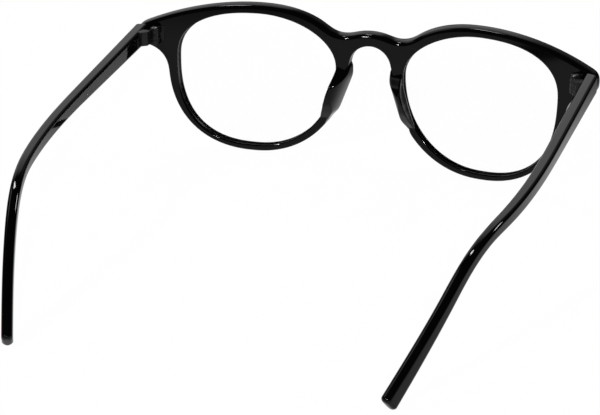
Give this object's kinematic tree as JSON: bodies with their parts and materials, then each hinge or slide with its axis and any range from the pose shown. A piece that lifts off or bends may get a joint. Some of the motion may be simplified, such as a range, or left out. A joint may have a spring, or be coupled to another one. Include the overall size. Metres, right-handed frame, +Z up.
{
  "type": "round eyeglasses",
  "caption": "Round full-rim eyeglasses in glossy black plastic with a keyhole bridge, fixed nose pads, clear lenses and temples that fold on screwed barrel hinges.",
  "frame": {"origin": "middle of the rectangle that the open glasses cover on a table, at table height", "axes": "+X towards the wearer's left, +Y from the front towards the ears, +Z up; the glasses stand open on their rims and temple tips"},
  "size_m": [0.1376, 0.1455, 0.0451],
  "materials": {
    "frame_plastic": "polished gloss black",
    "lens_clear": "clear, with a faint anti-reflection tint",
    "hinge_metal": "satin black"
  },
  "bodies": {
    "front": {"frame_front": "frame_plastic", "lens_left": "lens_clear", "lens_right": "lens_clear", "nose_pad_left": "frame_plastic", "nose_pad_right": "frame_plastic", "front_hinge_left": "hinge_metal", "front_hinge_right": "hinge_metal", "hinge_screw_left": "hinge_metal", "hinge_screw_right": "hinge_metal"},
    "left_temple": {"temple_left": "frame_plastic", "temple_hinge_left": "hinge_metal"},
    "right_temple": {"temple_right": "frame_plastic", "temple_hinge_right": "hinge_metal"}
  },
  "joints": [
    {"name": "left_fold", "type": "hinge", "parent": "front", "child": "left_temple", "pos_m": [0.06265, -0.05744, 0.03514], "axis": [0, -0.075, 0.9972], "range_deg": [0, 87]},
    {"name": "right_fold", "type": "hinge", "parent": "front", "child": "right_temple", "pos_m": [-0.06265, -0.05744, 0.03514], "axis": [0, 0.075, -0.9972], "range_deg": [0, 83]}
  ]
}
